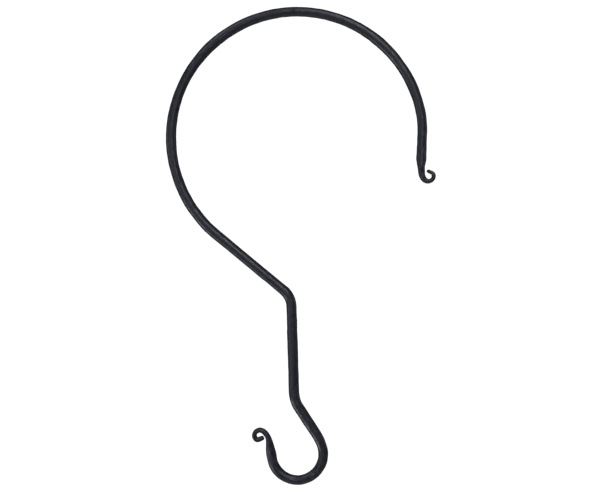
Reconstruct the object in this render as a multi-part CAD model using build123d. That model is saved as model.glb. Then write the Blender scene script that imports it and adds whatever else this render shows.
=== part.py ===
from build123d import *
from dataclasses import dataclass
from math import ceil, cos, radians, sin
import os

# A hand-forged hook for hanging things from a tree branch. It is one round bar, bent
# cold in one plane, with both ends hammered thin and rolled into small open curls.
#
# Frame, in millimetres: +Z up, +X toward the side of the loop's open mouth, and the front
# face toward -Y. The plane of the bar is Y = 0. The origin is on the inside of the big
# loop at its crown, where the hook sits on top of the branch.

# Round bar, quarter-inch stock
BAR_DIAMETER = 6.35

# The big loop over the branch. It turns from its crown to both sides at one radius.
LOOP_INSIDE_RADIUS = 79.0
LOOP_MOUTH_SIDE_ANGLE = 73.0
LOOP_SHANK_SIDE_ANGLE = 140.5

# The mouth side ends in a slightly tighter bend and a drop to the upper curl
DROP_INSIDE_RADIUS = 61.0
DROP_ANGLE = 19.0
DROP_LENGTH = 16.0

# The shank side runs back under the loop and turns down at the elbow
DIAGONAL_LENGTH = 56.0
ELBOW_INSIDE_RADIUS = 11.5
ELBOW_ANGLE = 49.0
SHANK_LENGTH = 55.5

# The knee swings the bar out to one side, so that the load hangs under the loop's middle
KNEE_INSIDE_RADIUS = 15.5
KNEE_ANGLE = 31.5
SLANT_LENGTH = 21.5

# The small hook that carries the load: an easy lead-in, then the bowl and its neck
LEAD_INSIDE_RADIUS = 28.0
LEAD_ANGLE = 16.0
BOWL_INSIDE_RADIUS = 13.6
BOWL_ANGLE = 187.5
NECK_LENGTH = 3.0

# Upper curl, at the loop's mouth. The drawn length is what the hammer takes from the
# round bar down to the neck; from there the end tapers on, to the end of the taper length.
UPPER_NECK_RUN = 4.3
UPPER_DRAWN_LENGTH = 7.5
UPPER_TAPER_LENGTH = 20.5
UPPER_NECK_THICKNESS = 4.45
UPPER_CURL_THICKNESS = 2.65
UPPER_CURL_WIDTH = 6.8
UPPER_TIP_THICKNESS = 2.35
UPPER_TIP_WIDTH = 5.0
UPPER_TIP_ROUNDING = 1.2
UPPER_FLARE_INSIDE_RADIUS = 28.7
UPPER_FLARE_ANGLE = 12.5
UPPER_ENTRY_INSIDE_RADIUS = 5.2
UPPER_ENTRY_ANGLE = 31.0
UPPER_EYE_RADIUS = 2.15
UPPER_EYE_ANGLE = 142.0
UPPER_CLOSING_RADIUS = 0.75
UPPER_CLOSING_ANGLE = 64.0
UPPER_TIP_RUN = 3.2

# Lower curl, on the neck of the small hook
LOWER_NECK_RUN = 8.6
LOWER_DRAWN_LENGTH = 12.5
LOWER_TAPER_LENGTH = 18.5
LOWER_NECK_THICKNESS = 3.4
LOWER_CURL_THICKNESS = 3.2
LOWER_CURL_WIDTH = 7.0
LOWER_TIP_THICKNESS = 2.9
LOWER_TIP_WIDTH = 5.6
LOWER_TIP_ROUNDING = 0.9
LOWER_FLARE_INSIDE_RADIUS = 8.3
LOWER_FLARE_ANGLE = 44.0
LOWER_EYE_RADIUS = 1.95
LOWER_EYE_ANGLE = 158.0
LOWER_CLOSING_RADIUS = 0.3
LOWER_CLOSING_ANGLE = 84.0
LOWER_TIP_RUN = 3.3

# Corners of the hammered section, as the handle length of each quarter's curve over its
# side: 0.55 gives an ellipse, and 1 a sharp rectangle
ROUND_CORNER = 0.5523
HAMMERED_CORNER = 0.75

# Spacing of the hammered ends' sections along the bar
SECTION_SPACING = 1.2
# Where the sections of a rounded tip lie, as angles on its quarter round
TIP_ANGLES = (25.0, 48.0, 66.0, 78.0)


@dataclass(frozen=True)
class Run:
    """A straight stretch of the bar's centreline."""

    length: float


@dataclass(frozen=True)
class Bend:
    """A bend of the centreline. A positive angle turns left, seen from the front."""

    radius: float
    angle: float


def bar_bend(inside_radius, angle):
    """A bend of the full bar, by the radius of the former that it is bent round."""
    return Bend(inside_radius + BAR_DIAMETER / 2, angle)


@dataclass(frozen=True)
class ForgedEnd:
    """One end of the bar, hammered thin and curled: its steps and its sizes along them."""

    steps: tuple
    drawn_length: float
    taper_length: float
    neck_thickness: float
    curl_thickness: float
    curl_width: float
    tip_thickness: float
    tip_width: float
    tip_rounding: float


TO_MOUTH = (
    bar_bend(LOOP_INSIDE_RADIUS, -LOOP_MOUTH_SIDE_ANGLE),
    bar_bend(DROP_INSIDE_RADIUS, -DROP_ANGLE),
    Run(DROP_LENGTH),
)

TO_LOAD = (
    bar_bend(LOOP_INSIDE_RADIUS, LOOP_SHANK_SIDE_ANGLE),
    Run(DIAGONAL_LENGTH),
    bar_bend(ELBOW_INSIDE_RADIUS, -ELBOW_ANGLE),
    Run(SHANK_LENGTH),
    bar_bend(KNEE_INSIDE_RADIUS, KNEE_ANGLE),
    Run(SLANT_LENGTH),
    bar_bend(LEAD_INSIDE_RADIUS, -LEAD_ANGLE),
    bar_bend(BOWL_INSIDE_RADIUS, -BOWL_ANGLE),
    Run(NECK_LENGTH),
)

UPPER_END = ForgedEnd(
    steps=(
        Run(UPPER_NECK_RUN),
        Bend(UPPER_FLARE_INSIDE_RADIUS + UPPER_CURL_THICKNESS / 2, UPPER_FLARE_ANGLE),
        Bend(UPPER_ENTRY_INSIDE_RADIUS + UPPER_CURL_THICKNESS / 2, UPPER_ENTRY_ANGLE),
        Bend(UPPER_EYE_RADIUS + UPPER_CURL_THICKNESS / 2, UPPER_EYE_ANGLE),
        Bend(UPPER_CLOSING_RADIUS + UPPER_CURL_THICKNESS / 2, UPPER_CLOSING_ANGLE),
        Run(UPPER_TIP_RUN),
    ),
    drawn_length=UPPER_DRAWN_LENGTH,
    taper_length=UPPER_TAPER_LENGTH,
    neck_thickness=UPPER_NECK_THICKNESS,
    curl_thickness=UPPER_CURL_THICKNESS,
    curl_width=UPPER_CURL_WIDTH,
    tip_thickness=UPPER_TIP_THICKNESS,
    tip_width=UPPER_TIP_WIDTH,
    tip_rounding=UPPER_TIP_ROUNDING,
)

LOWER_END = ForgedEnd(
    steps=(
        Run(LOWER_NECK_RUN),
        Bend(LOWER_FLARE_INSIDE_RADIUS + LOWER_CURL_THICKNESS / 2, LOWER_FLARE_ANGLE),
        Bend(LOWER_EYE_RADIUS + LOWER_CURL_THICKNESS / 2, LOWER_EYE_ANGLE),
        Bend(LOWER_CLOSING_RADIUS + LOWER_CURL_THICKNESS / 2, LOWER_CLOSING_ANGLE),
        Run(LOWER_TIP_RUN),
    ),
    drawn_length=LOWER_DRAWN_LENGTH,
    taper_length=LOWER_TAPER_LENGTH,
    neck_thickness=LOWER_NECK_THICKNESS,
    curl_thickness=LOWER_CURL_THICKNESS,
    curl_width=LOWER_CURL_WIDTH,
    tip_thickness=LOWER_TIP_THICKNESS,
    tip_width=LOWER_TIP_WIDTH,
    tip_rounding=LOWER_TIP_ROUNDING,
)


def centreline(start, direction, steps):
    """The edges of the steps, each tangent to the one before it."""
    edges = []
    for step in steps:
        if isinstance(step, Run):
            edge = Line(start, start + direction * step.length)
        else:
            edge = JernArc(start, direction, step.radius, step.angle)
        edges.append(edge)
        start, direction = edge @ 1, edge % 1
    return edges


def blend(distance, stations):
    """The size at a distance, easing from each (distance, size) station to the next."""
    for (start, size), (stop, next_size) in zip(stations, stations[1:]):
        if distance < stop:
            share = (distance - start) / (stop - start)
            return size + (next_size - size) * share * share * (3 - 2 * share)
    return stations[-1][1]


def quarter(first, second, corner):
    """A quarter of a section, from a point on one axis to a point on the other."""
    return Bezier(first, first + second * corner, second + first * corner, second)


def hammered_face(plane, thickness, width, corner):
    """A section of a hammered end: width across the bar's plane, thickness within it."""
    side, edge = Vector(width / 2, 0), Vector(0, thickness / 2)
    points = [side, edge, -side, -edge, side]
    outline = Wire([quarter(a, b, corner) for a, b in zip(points, points[1:])])
    return plane * Face(outline)


def round_face(plane):
    """The bar's own section, in quarters that line up with the hammered ones."""
    arcs = [CenterArc((0, 0), BAR_DIAMETER / 2, 90 * turn, 90) for turn in range(4)]
    return plane * Face(Wire(arcs))


def forged_end(end, start, direction):
    """The hammered and curled end that carries on from a bare end of the bar."""
    path = Wire(centreline(start, direction, end.steps))
    thicknesses = (
        (0, BAR_DIAMETER),
        (end.drawn_length, end.neck_thickness),
        (end.taper_length, end.curl_thickness),
        (path.length, end.tip_thickness),
    )
    widths = (
        (0, BAR_DIAMETER),
        (end.taper_length, end.curl_width),
        (path.length, end.tip_width),
    )
    corners = ((0, ROUND_CORNER), (end.drawn_length, HAMMERED_CORNER))

    def plane_at(distance):
        share = distance / path.length
        return Plane(path @ share, x_dir=(0, 0, -1), z_dir=path % share)

    def face_at(distance, shrink=1.0):
        return hammered_face(
            plane_at(distance),
            blend(distance, thicknesses) * shrink,
            blend(distance, widths) * shrink,
            blend(distance, corners),
        )

    tip_start = path.length - end.tip_rounding
    count = ceil(tip_start / SECTION_SPACING)
    faces = [round_face(plane_at(0))]
    faces += [face_at(tip_start * step / count) for step in range(1, count + 1)]
    body = loft(faces)
    tip = [faces[-1]]
    for angle in TIP_ANGLES:
        reach = tip_start + end.tip_rounding * sin(radians(angle))
        tip.append(face_at(reach, cos(radians(angle))))
    return body + loft(tip)


def forged_hook():
    """The whole hook, drawn in the XY plane and then stood up in the bar's own plane."""
    crown = Vector(0, BAR_DIAMETER / 2)
    mouth_arm = centreline(crown, Vector(1, 0), TO_MOUTH)
    load_arm = centreline(crown, Vector(-1, 0), TO_LOAD)
    path = Wire(mouth_arm + load_arm)
    bar = sweep(Plane(path @ 0, z_dir=path % 0) * Circle(BAR_DIAMETER / 2), path=path)
    hook = bar
    for arm, end in ((mouth_arm, UPPER_END), (load_arm, LOWER_END)):
        hook += forged_end(end, arm[-1] @ 1, arm[-1] % 1)
    return Plane.XZ * hook


os.makedirs("parts", exist_ok=True)
hook = forged_hook()
hook.label = "forged_hook"
export_step(hook, "parts/forged_hook.step")
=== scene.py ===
"""A hand-forged tree branch hook, made of one round bar and finished in satin black.

The hook is modelled as it is made: a round bar is laid out along its bends, both ends are
drawn thin and curled, the whole is hammered over, and then it is coated. All sizes are in
metres, in the part's own frame: +Z up, +X toward the open mouth of the loop, the front
toward -Y, and the origin on the inside of the loop at its crown.

Distances along the bar are measured from the crown, on each side of it. Angles round the
bar start on the side that faces out of the loop and pass through the front.
"""

import logging
import math
import random
from abc import ABC, abstractmethod
from collections.abc import Callable, Iterable
from dataclasses import dataclass
from enum import Enum

import bmesh
import bpy
from mathutils import Matrix, Vector, noise


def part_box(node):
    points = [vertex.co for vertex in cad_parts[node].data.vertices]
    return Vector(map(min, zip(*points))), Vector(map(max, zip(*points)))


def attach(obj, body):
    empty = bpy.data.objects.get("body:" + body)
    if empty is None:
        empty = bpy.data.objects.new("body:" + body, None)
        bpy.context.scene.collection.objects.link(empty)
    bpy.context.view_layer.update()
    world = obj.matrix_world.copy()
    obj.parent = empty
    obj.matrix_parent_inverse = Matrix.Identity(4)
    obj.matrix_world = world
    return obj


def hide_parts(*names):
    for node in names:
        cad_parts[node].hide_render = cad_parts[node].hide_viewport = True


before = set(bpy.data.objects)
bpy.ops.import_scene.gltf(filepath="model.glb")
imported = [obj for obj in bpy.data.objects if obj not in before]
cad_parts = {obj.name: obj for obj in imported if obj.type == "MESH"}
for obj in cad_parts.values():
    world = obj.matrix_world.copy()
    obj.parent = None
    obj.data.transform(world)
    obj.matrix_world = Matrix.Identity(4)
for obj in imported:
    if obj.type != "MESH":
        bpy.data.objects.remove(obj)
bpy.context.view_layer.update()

log = logging.getLogger("forged_hook")

FRONT = Vector((0.0, -1.0, 0.0))
CAD_NODE = "forged_hook"

# The mesh's attribute that says where each point would be if the bar were straight
STRAIGHT_BAR = "straight_bar"
# Lumps and patches are drawn out along the bar: how fine they are along it, as a share of
# how fine they are round it
ALONG_BAR = 0.6
# Lumps and dents have their full height where the surface lies at least this share of the
# bar's diameter from the centreline, and less where the bar is thinner
FULL_HEIGHT_RADIUS = 0.25
# How far the last smoothing moves each vertex toward the middle of its neighbours
SMOOTHING = 0.5
# Vertices that are closer than this are merged
MERGE_DISTANCE = 1e-6
# The squareness of an ellipse, and so of the round bar
ELLIPSE = 2.0
# What a noise texture gives on average
NOISE_MIDDLE = 0.5
# The unit of the heights that the finish gives its bump
BUMP_UNIT = 0.001

Colour = tuple[float, float, float, float]
WHITE: Colour = (1.0, 1.0, 1.0, 1.0)


class Arm(Enum):
    """The two ways that the bar runs from the crown.

    The value is 1 where the bar, seen from the front, has the outside of the loop on its
    left, and -1 where it has it on its right.
    """

    MOUTH = 1
    LOAD = -1


# ---------------------------------------------------------------------------------------
# Centreline
# ---------------------------------------------------------------------------------------


@dataclass(frozen=True)
class Place:
    """A point of the bar's centreline and the way the bar runs there.

    Attributes:
        point: The point, in the bar's plane.
        heading: The running direction in radians, anticlockwise from +X, from the front.
    """

    point: Vector
    heading: float

    @property
    def forward(self) -> Vector:
        """The running direction."""
        return Vector((math.cos(self.heading), 0.0, math.sin(self.heading)))

    @property
    def left(self) -> Vector:
        """The direction to the left of the running direction, seen from the front."""
        return Vector((-math.sin(self.heading), 0.0, math.cos(self.heading)))


@dataclass(frozen=True)
class Run:
    """A straight stretch of the centreline.

    Attributes:
        length: Its length.
    """

    length: float

    def move(self, place: Place, share: float) -> Matrix:
        """Gives the movement along a share of the run.

        Args:
            place: Where the movement starts.
            share: The share of the run that is passed.

        Returns:
            The movement as a matrix.
        """
        return Matrix.Translation(place.forward * self.length * share)

    def turn(self, share: float) -> float:
        """The change of heading over a share of the run, which is none."""
        return 0.0


@dataclass(frozen=True)
class Bend:
    """A bend of the centreline.

    Attributes:
        radius: Its radius at the centreline.
        angle: How far it turns, in degrees, positive to the left seen from the front.
    """

    radius: float
    angle: float

    @property
    def length(self) -> float:
        """The length along the bend."""
        return self.radius * abs(math.radians(self.angle))

    def move(self, place: Place, share: float) -> Matrix:
        """Gives the movement round a share of the bend.

        Args:
            place: Where the movement starts.
            share: The share of the bend that is passed.

        Returns:
            The movement as a matrix.
        """
        centre = place.point + place.left * math.copysign(self.radius, self.angle)
        turning = Matrix.Rotation(self.turn(share), 4, FRONT)
        return Matrix.Translation(centre) @ turning @ Matrix.Translation(-centre)

    def turn(self, share: float) -> float:
        """The change of heading over a share of the bend, in radians."""
        return math.radians(self.angle) * share


Step = Run | Bend


# ---------------------------------------------------------------------------------------
# Sections and hammer work
# ---------------------------------------------------------------------------------------


# Pairs of a distance along the bar and a size there, in order
Stations = tuple[tuple[float, float], ...]


def ease(distance: float, stations: Stations) -> float:
    """Eases a size from station to station along the bar.

    Args:
        distance: Where the size is wanted.
        stations: The stations.

    Returns:
        The size at the distance.
    """
    first = stations[0]
    if distance <= first[0]:
        return first[1]
    for (start, size), (stop, next_size) in zip(stations, stations[1:]):
        if distance < stop:
            share = (distance - start) / (stop - start)
            return size + (next_size - size) * share * share * (3.0 - 2.0 * share)
    return stations[-1][1]


@dataclass(frozen=True)
class Section:
    """The bar's section at one place.

    Attributes:
        thickness: Its size in the bar's plane.
        width: Its size across the bar's plane.
        squareness: The outline's power, more than an ellipse's for flatter sides.
    """

    thickness: float
    width: float
    squareness: float = ELLIPSE

    def rim(self, around: float) -> Vector:
        """Gives a point of the section's outline.

        Args:
            around: The angle round the bar.

        Returns:
            How far out and how far to the front the point lies from the centreline.
        """
        power = 2.0 / self.squareness
        out, front = math.cos(around), math.sin(around)
        return Vector((
            math.copysign(abs(out) ** power, out) * self.thickness / 2.0,
            math.copysign(abs(front) ** power, front) * self.width / 2.0,
        ))

    def reach(self, around: float) -> float:
        """Gives how far the section reaches in one direction.

        Args:
            around: The direction, as an angle round the bar.

        Returns:
            The distance from the centreline to the outline's tangent.
        """
        power = self.squareness / (self.squareness - 1.0)
        out = abs(math.cos(around)) * self.thickness / 2.0
        front = abs(math.sin(around)) * self.width / 2.0
        return (out**power + front**power) ** (1.0 / power)


@dataclass(frozen=True)
class HammerMark:
    """A shallow flat that one hammer blow left.

    Attributes:
        distance: Where it lies along the bar.
        around: The side of the bar that was struck, as an angle.
        length: Half its length along the bar.
        depth: How deep it is in the middle.
    """

    distance: float
    around: float
    length: float
    depth: float

    def flat(self, section: Section, distance: float) -> tuple[Vector, float] | None:
        """Gives the flat as a line across a section.

        Args:
            section: The section that is struck.
            distance: The section's distance along the bar.

        Returns:
            The blow's direction and how far the bar still reaches in it, or nothing where
            the blow didn't reach.
        """
        share = (distance - self.distance) / self.length
        depth = self.depth * (1.0 - share * share)
        if depth <= 0.0:
            return None
        blow = Vector((math.cos(self.around), math.sin(self.around)))
        return blow, section.reach(self.around) - depth


def flattened(point: Vector, flats: Iterable[tuple[Vector, float]]) -> Vector:
    """Brings a point of a section's outline back to the flats that it stands out from.

    Args:
        point: How far out and how far to the front the point lies from the centreline.
        flats: Each blow's direction and how far the bar still reaches in it.

    Returns:
        The point as the blows leave it.
    """
    for blow, reach in flats:
        excess = point.dot(blow) - reach
        if excess > 0.0:
            point = point - blow * excess
    return point


@dataclass(frozen=True)
class Dent:
    """A smooth round dent, or a swelling if its depth is negative.

    Attributes:
        distance: Where its middle lies along the bar.
        around: Where it lies round the bar, as an angle.
        length: Half its length along the bar.
        girth: Half its length round the bar, as an angle.
        depth: How deep it is in the middle.
    """

    distance: float
    around: float
    length: float
    girth: float
    depth: float

    def sink(self, distance: float, around: float) -> float:
        """Gives how far the surface is sunk at one place.

        Args:
            distance: The place's distance along the bar.
            around: Its angle round the bar.

        Returns:
            The depth there.
        """
        along = (distance - self.distance) / self.length
        turn = math.remainder(around - self.around, math.tau) / self.girth
        left = 1.0 - along * along - turn * turn
        return self.depth * left * left if left > 0.0 else 0.0


@dataclass(frozen=True)
class Unevenness:
    """The low lumps and hollows that heat and hammering leave all over the bar.

    Attributes:
        size: Mean size of a lump.
        height: How far the surface wanders in and out.
    """

    size: float
    height: float

    def lift(self, straight: Vector) -> float:
        """Gives how far the surface stands out at one place.

        Args:
            straight: The place on the bar, as if the bar were straight.

        Returns:
            The distance, negative for a hollow.
        """
        drawn_out = Vector((straight.x, straight.y, straight.z * ALONG_BAR))
        return noise.noise(drawn_out / self.size) * self.height


@dataclass(frozen=True)
class HammerWork:
    """The hammer marks on a stretch of the bar, spread at random.

    Attributes:
        seed: Start of the random draws.
        spacing: Mean distance from one mark to the next along the bar.
        length: Least and greatest half length of a mark.
        depth: Least and greatest depth of a mark.
        scatter: How far a distance between marks strays from the mean, as a share of it.
    """

    seed: int
    spacing: float
    length: tuple[float, float]
    depth: tuple[float, float]
    scatter: float = 0.6

    def marks(self, start: float, stop: float) -> list[HammerMark]:
        """Spreads the marks over a stretch.

        Args:
            start: Where the stretch starts along the bar.
            stop: Where it ends.

        Returns:
            The marks, in order along the bar.
        """
        draw = random.Random(self.seed)
        marks: list[HammerMark] = []
        distance = start + self.spacing
        while distance < stop:
            marks.append(HammerMark(
                distance=distance,
                around=draw.uniform(-math.pi, math.pi),
                length=draw.uniform(*self.length),
                depth=draw.uniform(*self.depth),
            ))
            distance += self.spacing * draw.uniform(1.0 - self.scatter, 1.0 + self.scatter)
        return marks


# ---------------------------------------------------------------------------------------
# The bar as a mesh
# ---------------------------------------------------------------------------------------


@dataclass
class Ring:
    """One ring of the bar's mesh.

    Attributes:
        verts: Its vertices.
        place: Where the centreline passes through it.
        distance: Its distance along the bar from the crown.
        section: The section that it gets.
        arm: The arm that it is on.
    """

    verts: list[bmesh.types.BMVert]
    place: Place
    distance: float
    section: Section
    arm: Arm

    @property
    def out(self) -> Vector:
        """The direction to the side of the bar that faces out of the loop."""
        return self.place.left * self.arm.value

    def around(self, point: Vector) -> float:
        """The angle round the bar at which a point of the ring lies."""
        offset = point - self.place.point
        return math.atan2(offset.dot(FRONT), offset.dot(self.out))

    def edges(self) -> list[bmesh.types.BMEdge]:
        """The edges that join the ring's vertices, in the same order on each run."""
        own = set(self.verts)
        joined = (e for v in self.verts for e in v.link_edges if own.issuperset(e.verts))
        return list(dict.fromkeys(joined))


class BarMesh:
    """A bar that grows ring by ring from its crown and is then hammered to shape."""

    def __init__(self, diameter: float, sides: int) -> None:
        """Starts the bar with no rings.

        Args:
            diameter: The round bar's diameter.
            sides: How many sides its rings have.
        """
        self.diameter = diameter
        self.sides = sides
        self.bm = bmesh.new()
        self.straight = self.bm.verts.layers.float_vector.new(STRAIGHT_BAR)
        self.rings: list[Ring] = []

    def first_ring(self, crown: Vector, arm: Arm, section: Section) -> Ring:
        """Makes or reuses the ring at the crown, as the start of an arm.

        Args:
            crown: The centreline's point at the crown.
            arm: The arm that starts there.
            section: The ring's section.

        Returns:
            The ring, facing along the arm.
        """
        heading = 0.0 if arm is Arm.MOUTH else math.pi
        if self.rings:
            verts = self.rings[0].verts
        else:
            upright = Matrix.Translation(crown) @ Matrix.Rotation(math.pi / 2.0, 4, "Y")
            verts = bmesh.ops.create_circle(
                self.bm, segments=self.sides, radius=self.diameter / 2.0, matrix=upright
            )["verts"]
        ring = Ring(verts, Place(crown, heading), 0.0, section, arm)
        self.rings.append(ring)
        return ring

    def extrude(self, ring: Ring) -> list[bmesh.types.BMVert]:
        """Extrudes a ring's edges where they are, and gives the new vertices."""
        grown = bmesh.ops.extrude_edge_only(self.bm, edges=ring.edges())["geom"]
        return [part for part in grown if isinstance(part, bmesh.types.BMVert)]

    def grow(self, ring: Ring, step: Step, share: float, section: Section) -> Ring:
        """Grows the bar from a ring by a share of a step.

        Args:
            ring: The last ring so far.
            step: The run or bend that the bar follows.
            share: The share of it that is passed.
            section: The new ring's section.

        Returns:
            The new ring.
        """
        verts = self.extrude(ring)
        move = step.move(ring.place, share)
        bmesh.ops.transform(self.bm, matrix=move, verts=verts)
        place = Place(move @ ring.place.point, ring.place.heading + step.turn(share))
        distance = ring.distance + step.length * share
        self.rings.append(Ring(verts, place, distance, section, ring.arm))
        return self.rings[-1]

    def follow(
        self,
        ring: Ring,
        steps: Iterable[Step],
        spacing: float,
        section_at: Callable[[float], Section],
    ) -> Ring:
        """Grows the bar from a ring along whole steps, in even slices.

        Args:
            ring: The last ring so far.
            steps: The runs and bends that the bar follows.
            spacing: The greatest distance between two rings.
            section_at: Gives the section at a distance along the bar.

        Returns:
            The last new ring.
        """
        for step in steps:
            slices = math.ceil(step.length / spacing)
            for _ in range(slices):
                section = section_at(ring.distance + step.length / slices)
                ring = self.grow(ring, step, 1.0 / slices, section)
        return ring

    def close(self, ring: Ring) -> None:
        """Draws the last ring of an arm together to a point."""
        bmesh.ops.pointmerge(self.bm, verts=self.extrude(ring), merge_co=ring.place.point)

    def straightened(self, ring: Ring, around: float) -> Vector:
        """Gives where a point of the bar would be if the bar were straight and round.

        Args:
            ring: The ring that it is on.
            around: Its angle round the bar.

        Returns:
            How far out, how far to the front and how far toward the mouth it would be.
        """
        return Vector((
            math.cos(around) * self.diameter / 2.0,
            math.sin(around) * self.diameter / 2.0,
            ring.distance * ring.arm.value,
        ))

    def shape(
        self,
        marks: dict[Arm, list[HammerMark]],
        dents: dict[Arm, tuple[Dent, ...]],
        lumps: tuple[Unevenness, ...],
    ) -> None:
        """Gives each ring its section, its hammer marks, its dents and its unevenness.

        Args:
            marks: The hammer marks of each arm.
            dents: The dents and swellings of each arm.
            lumps: The kinds of unevenness all over the bar.
        """
        for ring in self.rings:
            flats = [mark.flat(ring.section, ring.distance) for mark in marks[ring.arm]]
            flats = [flat for flat in flats if flat]
            near = [d for d in dents[ring.arm] if abs(d.distance - ring.distance) < d.length]
            for vert in ring.verts:
                around = ring.around(vert.co)
                point = flattened(ring.section.rim(around), flats)
                straight = self.straightened(ring, around)
                lift = sum(lump.lift(straight) for lump in lumps)
                lift -= sum(dent.sink(ring.distance, around) for dent in near)
                share = min(point.length / self.diameter / FULL_HEIGHT_RADIUS, 1.0)
                point += point.normalized() * lift * share
                vert.co = ring.place.point + ring.out * point.x + FRONT * point.y
                vert[self.straight] = straight
        bmesh.ops.smooth_vert(
            self.bm, verts=self.bm.verts, factor=SMOOTHING,
            use_axis_x=True, use_axis_y=True, use_axis_z=True,
        )

    def sort_faces(self) -> None:
        """Puts the faces in the order of their vertices.

        Extruding leaves them in an order that changes from run to run.
        """
        self.bm.verts.index_update()
        count = len(self.bm.verts)

        def rank(face: bmesh.types.BMFace) -> float:
            """The face's place, by its first vertex and then by the mean of them all."""
            corners = [vert.index for vert in face.verts]
            return min(corners) * count + sum(corners) / len(corners)

        self.bm.faces.sort(key=rank)

    def finished(self, name: str) -> bpy.types.Object:
        """Cleans the mesh and makes an object of it.

        Args:
            name: The object's name.

        Returns:
            The object, linked to the scene.
        """
        bmesh.ops.remove_doubles(self.bm, verts=self.bm.verts, dist=MERGE_DISTANCE)
        bmesh.ops.recalc_face_normals(self.bm, faces=self.bm.faces)
        self.sort_faces()
        for face in self.bm.faces:
            face.smooth = True
        mesh = bpy.data.meshes.new(name)
        self.bm.to_mesh(mesh)
        self.bm.free()
        piece = bpy.data.objects.new(name, mesh)
        bpy.context.scene.collection.objects.link(piece)
        return piece


# ---------------------------------------------------------------------------------------
# The hook's stretches
# ---------------------------------------------------------------------------------------


@dataclass(frozen=True)
class RoundBar:
    """The round bar that the hook is made of.

    Attributes:
        diameter: Its bare diameter.
        coat: Thickness of its coating.
        loop_inside_radius: Inside radius of the big loop that both arms are bent to.
    """

    diameter: float = 0.00635
    coat: float = 0.00008
    loop_inside_radius: float = 0.0790

    @property
    def coated(self) -> float:
        """Its diameter over the coating."""
        return self.diameter + 2.0 * self.coat

    def bend(self, inside_radius: float, angle: float) -> Bend:
        """Gives a bend of the bar, by the radius of the former that it is bent round."""
        return Bend(inside_radius + self.diameter / 2.0, angle)


@dataclass(frozen=True)
class BentBar(ABC):
    """A stretch of the round bar from the crown outward, bent but not hammered thin.

    Attributes:
        stock: The round bar.
        fullness: Stations of extra diameter, where hammering left the bar fuller.
        spacing: The greatest distance between two rings.
    """

    stock: RoundBar
    fullness: Stations = ((0.0, 0.0),)
    spacing: float = 0.0006

    @property
    @abstractmethod
    def steps(self) -> tuple[Step, ...]:
        """Its runs and bends from the crown outward."""

    @property
    def length(self) -> float:
        """The length of the stretch."""
        return sum(step.length for step in self.steps)

    @property
    def end_diameter(self) -> float:
        """Its diameter where it ends."""
        return self.section(self.length).thickness

    def section(self, distance: float) -> Section:
        """The round section at a distance from the crown."""
        diameter = self.stock.coated + ease(distance, self.fullness)
        return Section(diameter, diameter)

    def draw(self, bar: BarMesh, ring: Ring) -> Ring:
        """Grows the stretch.

        Args:
            bar: The bar that it is part of.
            ring: The ring that it starts from.

        Returns:
            The ring that it ends with.
        """
        return bar.follow(ring, self.steps, self.spacing, self.section)


@dataclass(frozen=True)
class MouthArm(BentBar):
    """The loop's arm to its open mouth. Angles are in degrees.

    Attributes:
        loop_angle: How far the loop turns from its crown.
        drop_inside_radius: Inside radius of the tighter bend that leads down.
        drop_angle: How far that bend turns.
        drop_length: The straight drop to the upper curl.
    """

    fullness: Stations = (
        (0.024, -0.00010), (0.060, 0.00040), (0.078, 0.00010), (0.090, 0.00025),
        (0.104, 0.00000), (0.126, -0.00010), (0.137, 0.00015),
    )
    loop_angle: float = 73.0
    drop_inside_radius: float = 0.0610
    drop_angle: float = 19.0
    drop_length: float = 0.0160

    @property
    def steps(self) -> tuple[Step, ...]:
        """Its runs and bends from the crown outward."""
        return (
            self.stock.bend(self.stock.loop_inside_radius, -self.loop_angle),
            self.stock.bend(self.drop_inside_radius, -self.drop_angle),
            Run(self.drop_length),
        )


@dataclass(frozen=True)
class LoadArm(BentBar):
    """The loop's other arm, with the shank and the small hook. Angles are in degrees.

    Attributes:
        loop_angle: How far the loop turns from its crown.
        diagonal_length: The straight run back under the loop.
        elbow_inside_radius: Inside radius of the elbow, where the bar turns down.
        elbow_angle: How far the elbow turns.
        shank_length: The straight run down.
        knee_inside_radius: Inside radius of the knee, where the bar swings to one side.
        knee_angle: How far the knee turns.
        slant_length: The straight run that slants.
        lead_inside_radius: Inside radius of the easy bend that leads into the bowl.
        lead_angle: How far that bend turns.
        bowl_inside_radius: Inside radius of the bowl that carries the load.
        bowl_angle: How far the bowl turns.
        neck_length: The straight run up to the lower curl.
    """

    fullness: Stations = (
        (0.000, -0.00005), (0.030, 0.00000), (0.057, 0.00035), (0.096, -0.00010),
        (0.128, 0.00035), (0.155, 0.00005), (0.190, 0.00030), (0.230, 0.00005),
        (0.262, 0.00020), (0.310, 0.00035), (0.345, 0.00040), (0.380, -0.00010),
        (0.400, -0.00008), (0.413, 0.00010),
    )
    loop_angle: float = 140.5
    diagonal_length: float = 0.0560
    elbow_inside_radius: float = 0.0115
    elbow_angle: float = 49.0
    shank_length: float = 0.0555
    knee_inside_radius: float = 0.0155
    knee_angle: float = 31.5
    slant_length: float = 0.0215
    lead_inside_radius: float = 0.0280
    lead_angle: float = 16.0
    bowl_inside_radius: float = 0.0136
    bowl_angle: float = 187.5
    neck_length: float = 0.0030

    @property
    def steps(self) -> tuple[Step, ...]:
        """Its runs and bends from the crown outward."""
        return (
            self.stock.bend(self.stock.loop_inside_radius, self.loop_angle),
            Run(self.diagonal_length),
            self.stock.bend(self.elbow_inside_radius, -self.elbow_angle),
            Run(self.shank_length),
            self.stock.bend(self.knee_inside_radius, self.knee_angle),
            Run(self.slant_length),
            self.stock.bend(self.lead_inside_radius, -self.lead_angle),
            self.stock.bend(self.bowl_inside_radius, -self.bowl_angle),
            Run(self.neck_length),
        )


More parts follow.
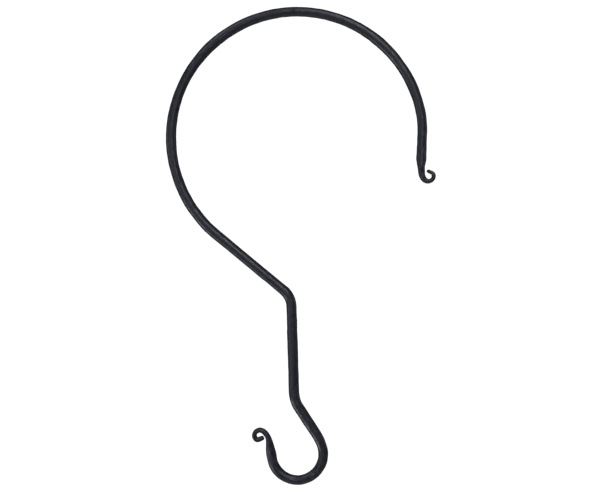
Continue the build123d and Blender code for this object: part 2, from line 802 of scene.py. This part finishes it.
@dataclass(frozen=True)
class ForgedEnd:
    """An end of the bar that is hammered thin and rolled into a small open curl.

    Attributes:
        diameter: The diameter of the bar that it carries on from.
        neck_run: The straight run before the curl.
        bends: Inside radius and angle in degrees of each bend of the curl, in order.
        tip_run: The straight run at the tip.
        drawn_length: From the round bar to the neck's thinnest place.
        taper_length: From the round bar to where the curl has its full size.
        neck_thickness: Thickness at the neck.
        curl_thickness: Thickness of the curl.
        curl_width: Width of the curl across the bar's plane.
        tip_thickness: Thickness at the tip.
        tip_width: Width at the tip.
        tip_rounding: Length of the rounded tip.
        squareness: How flat the hammered sides are.
        spacing: The greatest distance between two rings.
        tip_angles: Where the rings of the rounded tip lie on its quarter round, in degrees.
    """

    diameter: float
    neck_run: float
    bends: tuple[tuple[float, float], ...]
    tip_run: float
    drawn_length: float
    taper_length: float
    neck_thickness: float
    curl_thickness: float
    curl_width: float
    tip_thickness: float
    tip_width: float
    tip_rounding: float
    squareness: float = 2.8
    spacing: float = 0.0004
    tip_angles: tuple[float, ...] = (18.0, 34.0, 49.0, 63.0, 75.0, 84.0)

    @property
    def steps(self) -> tuple[Step, ...]:
        """Its runs and bends: the neck, the bends of the curl and the tip."""
        bends = (Bend(radius + self.curl_thickness / 2.0, angle) for radius, angle in self.bends)
        return (Run(self.neck_run), *bends, Run(self.tip_run))

    @property
    def length(self) -> float:
        """The length of the end."""
        return sum(step.length for step in self.steps)

    def section(self, distance: float, shrink: float = 1.0) -> Section:
        """Gives the section at a distance into the end.

        Args:
            distance: The distance from the round bar.
            shrink: What the rounding of the tip leaves of the size.

        Returns:
            The section.
        """
        thickness = ease(distance, (
            (0.0, self.diameter),
            (self.drawn_length, self.neck_thickness),
            (self.taper_length, self.curl_thickness),
            (self.length, self.tip_thickness),
        ))
        width = ease(distance, (
            (0.0, self.diameter),
            (self.taper_length, self.curl_width),
            (self.length, self.tip_width),
        ))
        squareness = ease(distance, ((0.0, ELLIPSE), (self.drawn_length, self.squareness)))
        return Section(thickness * shrink, width * shrink, squareness)

    def draw(self, bar: BarMesh, ring: Ring) -> None:
        """Grows the end and closes its tip.

        Args:
            bar: The bar that it is part of.
            ring: The ring that it starts from.
        """
        start = ring.distance
        *body, tip = self.steps
        body.append(Run(tip.length - self.tip_rounding))
        ring = bar.follow(ring, body, self.spacing, lambda at: self.section(at - start))
        body_end = ring.distance
        for angle in map(math.radians, self.tip_angles):
            reach = body_end + self.tip_rounding * math.sin(angle)
            section = self.section(reach - start, math.cos(angle))
            ring = bar.grow(ring, Run(reach - ring.distance), 1.0, section)
        bar.close(ring)


@dataclass(frozen=True)
class BranchHook:
    """The whole hook, from the tip of the upper curl to the tip of the lower one.

    Attributes:
        stock: The round bar that it is made of.
        sides: How many sides the bar's rings have.
        bar_work: The hammer marks on the round bar.
        end_work: The hammer marks on the forged ends.
        lumps: The unevenness all over.
    """

    stock: RoundBar = RoundBar()
    sides: int = 60
    bar_work: HammerWork = HammerWork(
        seed=11, spacing=0.0013, length=(0.0012, 0.0042), depth=(0.00001, 0.00006)
    )
    end_work: HammerWork = HammerWork(
        seed=23, spacing=0.0008, length=(0.0012, 0.0026), depth=(0.00004, 0.00013)
    )
    lumps: tuple[Unevenness, ...] = (
        Unevenness(size=0.0023, height=0.00012),
        Unevenness(size=0.0070, height=0.00013),
    )

    def upper_end(self, diameter: float) -> ForgedEnd:
        """Gives the small curl at the loop's mouth.

        Args:
            diameter: The diameter of the bar that it carries on from.

        Returns:
            The end, with a flare, an entry, its eye and a tighter closing bend.
        """
        return ForgedEnd(
            diameter=diameter,
            neck_run=0.0043,
            bends=((0.0287, 12.5), (0.0052, 31.0), (0.00215, 142.0), (0.00075, 64.0)),
            tip_run=0.0035,
            drawn_length=0.0075,
            taper_length=0.0205,
            neck_thickness=0.00445,
            curl_thickness=0.00265,
            curl_width=0.0068,
            tip_thickness=0.0025,
            tip_width=0.0050,
            tip_rounding=0.0012,
        )

    def lower_end(self, diameter: float) -> ForgedEnd:
        """Gives the small curl on the neck of the load hook.

        Args:
            diameter: The diameter of the bar that it carries on from.

        Returns:
            The end, with a flare, its eye and a tighter closing bend.
        """
        return ForgedEnd(
            diameter=diameter,
            neck_run=0.0086,
            bends=((0.0083, 44.0), (0.00195, 158.0), (0.0003, 84.0)),
            tip_run=0.0036,
            drawn_length=0.0125,
            taper_length=0.0185,
            neck_thickness=0.0034,
            curl_thickness=0.0032,
            curl_width=0.0070,
            tip_thickness=0.0029,
            tip_width=0.0056,
            tip_rounding=0.0009,
        )

    def placed_blows(self) -> dict[Arm, list[HammerMark]]:
        """Gives the broad hammered flats whose places matter.

        Returns:
            The flats on each arm, each by its distance and angle and then its sizes.
        """
        return {
            Arm.MOUTH: [
                HammerMark(0.1340, math.radians(83.0), length=0.0110, depth=0.00012),
                HammerMark(0.1310, math.radians(57.0), length=0.0150, depth=0.00018),
                HammerMark(0.1665, math.radians(108.0), length=0.0045, depth=0.00010),
            ],
            Arm.LOAD: [
                HammerMark(0.3490, math.radians(53.0), length=0.0230, depth=0.00010),
                HammerMark(0.3990, math.radians(76.0), length=0.0060, depth=0.00016),
                HammerMark(0.4220, math.radians(118.0), length=0.0060, depth=0.00038),
                HammerMark(0.4385, math.radians(71.0), length=0.0085, depth=0.00014),
            ],
        }

    def dents(self) -> dict[Arm, tuple[Dent, ...]]:
        """Gives the dents and swellings whose places matter.

        Returns:
            Those on each arm, each by its distance and angle and then its sizes.
        """
        return {
            Arm.MOUTH: (
                Dent(0.1440, math.radians(180.0), length=0.0055, girth=1.00, depth=-0.00012),
                Dent(0.1425, math.radians(0.0), length=0.0080, girth=1.10, depth=-0.00007),
                Dent(0.1478, math.radians(97.0), length=0.0042, girth=0.70, depth=-0.00050),
                Dent(0.1570, math.radians(180.0), length=0.0115, girth=1.40, depth=-0.00032),
            ),
            Arm.LOAD: (
                Dent(0.3828, math.radians(102.0), length=0.0017, girth=0.50, depth=-0.00040),
                Dent(0.3844, math.radians(99.0), length=0.0013, girth=0.60, depth=0.00055),
                Dent(0.3868, math.radians(99.0), length=0.0021, girth=0.65, depth=-0.00070),
                Dent(0.4370, math.radians(0.0), length=0.0120, girth=1.40, depth=-0.00028),
                Dent(0.4515, math.radians(180.0), length=0.0040, girth=1.30, depth=-0.00048),
            ),
        }

    def build(self, name: str) -> bpy.types.Object:
        """Builds the hook where the CAD node is.

        Args:
            name: The object's name.

        Returns:
            The hook.
        """
        crown = Vector((0.0, 0.0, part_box(CAD_NODE)[1].z - self.stock.diameter / 2.0))
        bar = BarMesh(self.stock.coated, self.sides)
        marks = self.placed_blows()
        for arm, stretch, curl in (
            (Arm.MOUTH, MouthArm(self.stock), self.upper_end),
            (Arm.LOAD, LoadArm(self.stock), self.lower_end),
        ):
            end = curl(stretch.end_diameter)
            ring = bar.first_ring(crown, arm, stretch.section(0.0))
            end.draw(bar, stretch.draw(bar, ring))
            length = stretch.length
            marks[arm] += self.bar_work.marks(0.0, length)
            marks[arm] += self.end_work.marks(length, length + end.length)
        bar.shape(marks, self.dents(), self.lumps)
        return bar.finished(name)


# ---------------------------------------------------------------------------------------
# Finishes
# ---------------------------------------------------------------------------------------


class Wiring:
    """Places nodes in a node tree and joins them."""

    def __init__(self, tree: bpy.types.NodeTree) -> None:
        """Takes the tree that the nodes go in."""
        self.tree = tree

    @classmethod
    def blank(cls, owner: bpy.types.Material | bpy.types.World) -> "Wiring":
        """Empties the node tree of a new material or world.

        Args:
            owner: The material or world.

        Returns:
            The wiring of its tree.
        """
        owner.use_nodes = True
        owner.node_tree.nodes.clear()
        return cls(owner.node_tree)

    def node(
        self, kind: str, values: dict[str | int, object] | None = None, **settings: object
    ) -> bpy.types.Node:
        """Adds a node.

        Args:
            kind: The node's type.
            values: What its input sockets get, by name or number: a value that stays, or
                another node's output, which is linked.
            **settings: Its own settings.

        Returns:
            The node.
        """
        made = self.tree.nodes.new(kind)
        for name, value in settings.items():
            setattr(made, name, value)
        for socket, value in (values or {}).items():
            if isinstance(value, bpy.types.NodeSocket):
                self.tree.links.new(value, made.inputs[socket])
            else:
                made.inputs[socket].default_value = value
        return made


def relief_group() -> bpy.types.NodeTree:
    """Makes the group for an uneven surface, as a height that wanders about zero.

    Returns:
        The node group.
    """
    group = bpy.data.node_groups.new("uneven_surface", "ShaderNodeTree")
    for name, kind in (
        ("Vector", "NodeSocketVector"),
        ("Fineness", "NodeSocketFloat"),
        ("Amount", "NodeSocketFloat"),
    ):
        group.interface.new_socket(name=name, in_out="INPUT", socket_type=kind)
    group.interface.new_socket(name="Height", in_out="OUTPUT", socket_type="NodeSocketFloat")
    wiring = Wiring(group)
    entry = wiring.node("NodeGroupInput")
    grain = wiring.node("ShaderNodeTexNoise", {
        "Vector": entry.outputs["Vector"],
        "Scale": entry.outputs["Fineness"],
        "Detail": 2.0,
        "Roughness": 0.55,
    })
    centred = wiring.node("ShaderNodeMath", {
        0: grain.outputs["Fac"], 1: NOISE_MIDDLE,
    }, operation="SUBTRACT")
    scaled = wiring.node("ShaderNodeMath", {
        0: centred.outputs["Value"], 1: entry.outputs["Amount"],
    }, operation="MULTIPLY")
    wiring.node("NodeGroupOutput", {"Height": scaled.outputs["Value"]})
    return group


@dataclass(frozen=True)
class BlackFinish:
    """Satin black coating over hammered iron.

    Attributes:
        deep: Colour of the coating where it lies thick.
        worn: Colour where it is thin and a little grey.
        sheen: Tint of what the coating reflects.
        patches: How fine the colour and sheen vary, in patches to the metre.
        patch_detail: How many finer layers the patches have.
        colour_span: From where to where in the patches' noise the colour changes.
        sheen_span: From where to where in it the roughness changes.
        roughness: Least and greatest roughness.
        lump_fineness: How fine the hammered skin's own unevenness is, in lumps to the metre.
        lump_height: How high it is.
        grain_fineness: How fine the coating's grain is, in grains to the metre.
        grain_height: How high it is.
    """

    deep: Colour = (0.0140, 0.0155, 0.0225, 1.0)
    worn: Colour = (0.0230, 0.0245, 0.0330, 1.0)
    sheen: Colour = (0.86, 0.89, 1.0, 1.0)
    patches: float = 340.0
    patch_detail: float = 3.0
    colour_span: tuple[float, float] = (0.35, 0.70)
    sheen_span: tuple[float, float] = (0.3, 0.7)
    roughness: tuple[float, float] = (0.24, 0.42)
    lump_fineness: float = 520.0
    lump_height: float = 0.00011
    grain_fineness: float = 2600.0
    grain_height: float = 0.00001

    def material(self, relief: bpy.types.NodeTree) -> bpy.types.Material:
        """Makes the material.

        Args:
            relief: The group for an uneven surface.

        Returns:
            The material.
        """
        made = bpy.data.materials.new("satin_black_coating")
        wiring = Wiring.blank(made)
        place = wiring.node("ShaderNodeAttribute", attribute_name=STRAIGHT_BAR)
        drawn_out = wiring.node("ShaderNodeMapping", {
            "Vector": place.outputs["Vector"], "Scale": (1.0, 1.0, ALONG_BAR),
        })
        patches = wiring.node("ShaderNodeTexNoise", {
            "Vector": drawn_out.outputs["Vector"],
            "Scale": self.patches,
            "Detail": self.patch_detail,
        })
        colour = wiring.node("ShaderNodeValToRGB", {"Fac": patches.outputs["Fac"]})
        for stop, position, shade in zip(
            colour.color_ramp.elements, self.colour_span, (self.deep, self.worn)
        ):
            stop.position = position
            stop.color = shade
        rough = wiring.node("ShaderNodeMapRange", {
            "Value": patches.outputs["Fac"],
            "From Min": self.sheen_span[0], "From Max": self.sheen_span[1],
            "To Min": self.roughness[0], "To Max": self.roughness[1],
        })
        lumps, grain = [
            wiring.node("ShaderNodeGroup", {
                "Vector": drawn_out.outputs["Vector"],
                "Fineness": fineness,
                "Amount": height / BUMP_UNIT,
            }, node_tree=relief)
            for fineness, height in (
                (self.lump_fineness, self.lump_height),
                (self.grain_fineness, self.grain_height),
            )
        ]
        height = wiring.node("ShaderNodeMath", {
            0: lumps.outputs["Height"], 1: grain.outputs["Height"],
        }, operation="ADD")
        bump = wiring.node("ShaderNodeBump", {
            "Height": height.outputs["Value"], "Strength": 1.0, "Distance": BUMP_UNIT,
        })
        shader = wiring.node("ShaderNodeBsdfPrincipled", {
            "Base Color": colour.outputs["Color"],
            "Roughness": rough.outputs["Result"],
            "Specular Tint": self.sheen,
            "Normal": bump.outputs["Normal"],
        })
        wiring.node("ShaderNodeOutputMaterial", {"Surface": shader.outputs["BSDF"]})
        return made


@dataclass(frozen=True)
class PaleFloor:
    """Matt off-white paint on the studio's floor, which fades out toward the edge.

    Attributes:
        colour: Its colour.
        glow: How bright it looks before any light falls on it.
        roughness: Its roughness.
        fade_start: Where it starts to fade, as a share of the floor's radius.
    """

    colour: Colour = (0.82, 0.82, 0.82, 1.0)
    glow: Colour = (0.70, 0.70, 0.70, 1.0)
    roughness: float = 0.7
    fade_start: float = 0.5

    def material(self, floor_radius: float) -> bpy.types.Material:
        """Makes the material.

        Args:
            floor_radius: The radius of the floor, which is centred on the Z axis.

        Returns:
            The material.
        """
        made = bpy.data.materials.new("pale_floor")
        wiring = Wiring.blank(made)
        place = wiring.node("ShaderNodeTexCoord")
        flat = wiring.node("ShaderNodeVectorMath", {
            0: place.outputs["Object"], 1: (1.0, 1.0, 0.0),
        }, operation="MULTIPLY")
        radius = wiring.node("ShaderNodeVectorMath", {
            0: flat.outputs["Vector"],
        }, operation="LENGTH")
        fade = wiring.node("ShaderNodeMapRange", {
            "Value": radius.outputs["Value"],
            "From Min": floor_radius * self.fade_start, "From Max": floor_radius,
            "To Min": 1.0, "To Max": 0.0,
        }, interpolation_type="SMOOTHSTEP")
        # The glow is only looked at: it lights nothing
        path = wiring.node("ShaderNodeLightPath")
        shader = wiring.node("ShaderNodeBsdfPrincipled", {
            "Base Color": self.colour,
            "Roughness": self.roughness,
            "Alpha": fade.outputs["Result"],
            "Emission Color": self.glow,
            "Emission Strength": path.outputs["Is Camera Ray"],
        })
        wiring.node("ShaderNodeOutputMaterial", {"Surface": shader.outputs["BSDF"]})
        return made


# ---------------------------------------------------------------------------------------
# Studio
# ---------------------------------------------------------------------------------------


@dataclass(frozen=True)
class Lamp:
    """A soft round lamp that shines on the hook.

    Attributes:
        name: Its name.
        azimuth: Its direction round the hook in degrees, 0 in front and 90 to the right.
        elevation: Its height above the horizon in degrees.
        size: Its diameter.
        power: Its power in watts.
        distance: Its distance from the hook's middle. A negative one puts the lamp on the
            far side of the hook, shining away from it.
    """

    name: str
    azimuth: float
    elevation: float
    size: float
    power: float
    distance: float = 2.0

    def place(self, aim: Vector) -> bpy.types.Object:
        """Hangs the lamp.

        Args:
            aim: The point that it shines on.

        Returns:
            The lamp.
        """
        turn, rise = math.radians(self.azimuth), math.radians(self.elevation)
        away = Vector((
            math.sin(turn) * math.cos(rise), -math.cos(turn) * math.cos(rise), math.sin(rise)
        ))
        light = bpy.data.lights.new(self.name, "AREA")
        light.shape = "DISK"
        light.size = self.size
        light.energy = self.power
        lamp = bpy.data.objects.new(self.name, light)
        lamp.location = aim + away * self.distance
        lamp.rotation_euler = (-away).to_track_quat("-Z", "Y").to_euler()
        lamp.visible_camera = False
        bpy.context.scene.collection.objects.link(lamp)
        return lamp


# Each lamp by its name, azimuth and elevation, and then its sizes
LAMPS = (
    Lamp("key_high", 20.0, 56.0, size=0.8, power=5.2),
    Lamp("key", 22.0, 34.0, size=0.7, power=5.7),
    Lamp("key_low", 12.0, 14.0, size=0.9, power=3.2),
    Lamp("front_left", -22.0, 8.0, size=1.0, power=1.3),
    Lamp("high_left", -44.0, 50.0, size=1.1, power=6.2),
    Lamp("left", -90.0, 8.0, size=0.8, power=1.0),
    Lamp("low_left", -72.0, -40.0, size=0.7, power=1.2, distance=1.5),
    Lamp("low_left_front", -40.0, -12.0, size=1.1, power=1.5, distance=1.5),
    Lamp("left_below", -76.0, -32.0, size=0.4, power=2.7, distance=1.5),
    Lamp("left_front", -74.0, -2.0, size=0.4, power=0.8, distance=1.5),
    Lamp("right", 90.0, 8.0, size=0.8, power=1.3),
    Lamp("back", 180.0, 0.0, size=0.8, power=5.0),
    Lamp("floor_wash", 0.0, 88.0, size=1.0, power=1.0, distance=-0.6),
)


@dataclass(frozen=True)
class Studio:
    """The plain white studio that the hook hangs in.

    Attributes:
        paint: The floor's finish.
        floor_drop: How far the floor lies below the hook.
        floor_radius: Radius of the floor.
        floor_sides: How many sides the round floor has.
        ambient: Brightness of the white surroundings as they light the hook.
        backdrop: Brightness of the same surroundings as the camera sees them.
        lens: Focal length of the camera in millimetres.
        sensor: Width of the camera's sensor in millimetres.
        picture_width: Width of the picture at the hook.
        aim_offset: Where the camera aims, from the middle of the hook.
    """

    paint: PaleFloor = PaleFloor()
    floor_drop: float = 1.20
    floor_radius: float = 5.50
    floor_sides: int = 128
    ambient: float = 0.124
    backdrop: float = 1.1
    lens: float = 85.0
    sensor: float = 36.0
    picture_width: float = 0.39072
    aim_offset: tuple[float, float, float] = (-0.00061, 0.0, -0.00268)

    def middle(self) -> Vector:
        """The middle of the hook's box."""
        low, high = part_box(CAD_NODE)
        return (low + high) / 2.0

    def surroundings(self) -> None:
        """Makes the surroundings: plain white to look at, and dimmer as a light."""
        world = bpy.data.worlds.new("surroundings")
        wiring = Wiring.blank(world)
        path = wiring.node("ShaderNodeLightPath")
        lit, seen = [
            wiring.node("ShaderNodeBackground", {"Color": WHITE, "Strength": strength})
            for strength in (self.ambient, self.backdrop)
        ]
        mixed = wiring.node("ShaderNodeMixShader", {
            "Fac": path.outputs["Is Camera Ray"],
            1: lit.outputs["Background"],
            2: seen.outputs["Background"],
        })
        wiring.node("ShaderNodeOutputWorld", {"Surface": mixed.outputs["Shader"]})
        bpy.context.scene.world = world

    def floor(self) -> bpy.types.Object:
        """Lays the plain pale floor.

        Returns:
            The floor.
        """
        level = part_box(CAD_NODE)[0].z - self.floor_drop
        bm = bmesh.new()
        bmesh.ops.create_circle(
            bm, cap_ends=True, segments=self.floor_sides, radius=self.floor_radius,
            matrix=Matrix.Translation((0.0, 0.0, level)),
        )
        mesh = bpy.data.meshes.new("floor")
        bm.to_mesh(mesh)
        bm.free()
        made = bpy.data.objects.new("floor", mesh)
        bpy.context.scene.collection.objects.link(made)
        made.data.materials.append(self.paint.material(self.floor_radius))
        return made

    def camera(self) -> bpy.types.Object:
        """Sets up the camera straight in front of the hook.

        Returns:
            The camera.
        """
        data = bpy.data.cameras.new("camera")
        data.lens = self.lens
        data.sensor_width = self.sensor
        distance = self.picture_width * self.lens / self.sensor
        made = bpy.data.objects.new("camera", data)
        made.location = self.middle() + Vector(self.aim_offset) + FRONT * distance
        made.rotation_euler = (math.pi / 2.0, 0.0, 0.0)
        bpy.context.scene.collection.objects.link(made)
        bpy.context.scene.camera = made
        return made

    def set_up(self) -> None:
        """Sets up the floor, the light and the camera."""
        bpy.context.scene.view_settings.view_transform = "Standard"
        self.surroundings()
        self.floor()
        for lamp in LAMPS:
            lamp.place(self.middle())
        self.camera()


# ---------------------------------------------------------------------------------------
# Assembly
# ---------------------------------------------------------------------------------------


def main() -> None:
    """Builds the hook, coats it and sets it in the studio."""
    logging.basicConfig(level=logging.INFO, format="%(name)s: %(message)s")
    relief = relief_group()
    hook = BranchHook().build("forged_hook_finished")
    hook.data.materials.append(BlackFinish().material(relief))
    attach(hook, "root")
    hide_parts(CAD_NODE)
    triangles = sum(len(face.vertices) - 2 for face in hook.data.polygons)
    log.info("%s: %d triangles", hook.name, triangles)
    Studio().set_up()


if __name__ == "__main__":
    main()
